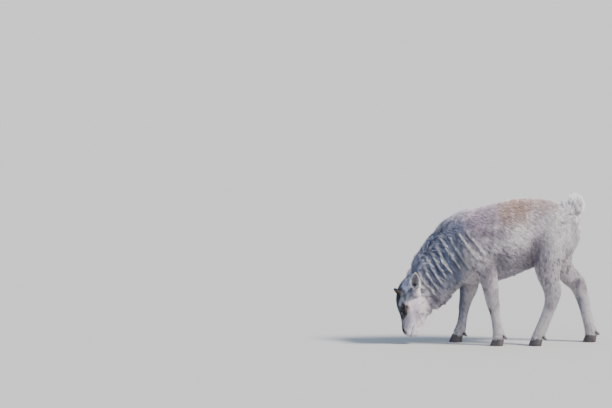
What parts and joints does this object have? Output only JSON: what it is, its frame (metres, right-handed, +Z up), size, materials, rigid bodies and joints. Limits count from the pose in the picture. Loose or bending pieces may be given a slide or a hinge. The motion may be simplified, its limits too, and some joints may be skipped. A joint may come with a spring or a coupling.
{
  "type": "reindeer calf",
  "caption": "Life-size still model of a grazing reindeer calf: head lowered to the ground, short tail raised, one forefoot ahead, standing on flat hooves.",
  "frame": {"origin": "middle of the calf's length and width, on the floor", "axes": "-X the way the calf looks, -Y its left side, +Z up"},
  "size_m": [0.873, 0.2136, 0.6414],
  "materials": {
    "coat": "dense short coat, off-white and lavender grey with a tan patch on the back",
    "hoof_horn": "dark hoof horn with a low sheen",
    "eye": "wet dark brown eye",
    "antler_velvet": "short dark velvet on the antler buds"
  },
  "bodies": {
    "root": {"torso": "coat", "neck": "coat", "head": "coat", "tail": "coat", "ear_left": "coat", "eye_left": "eye", "antler_bud_left": "antler_velvet", "ear_right": "coat", "eye_right": "eye", "antler_bud_right": "antler_velvet", "foreleg_left_upper": "coat", "foreleg_left_lower": "coat", "foreleg_left_hoof_left": "hoof_horn", "foreleg_left_dewclaw_left": "hoof_horn", "foreleg_left_hoof_right": "hoof_horn", "foreleg_left_dewclaw_right": "hoof_horn", "foreleg_right_upper": "coat", "foreleg_right_lower": "coat", "foreleg_right_hoof_left": "hoof_horn", "foreleg_right_dewclaw_left": "hoof_horn", "foreleg_right_hoof_right": "hoof_horn", "foreleg_right_dewclaw_right": "hoof_horn", "hindleg_left_upper": "coat", "hindleg_left_lower": "coat", "hindleg_left_hoof_left": "hoof_horn", "hindleg_left_dewclaw_left": "hoof_horn", "hindleg_left_hoof_right": "hoof_horn", "hindleg_left_dewclaw_right": "hoof_horn", "hindleg_right_upper": "coat", "hindleg_right_lower": "coat", "hindleg_right_hoof_left": "hoof_horn", "hindleg_right_dewclaw_left": "hoof_horn", "hindleg_right_hoof_right": "hoof_horn", "hindleg_right_dewclaw_right": "hoof_horn"}
  },
  "joints": []
}
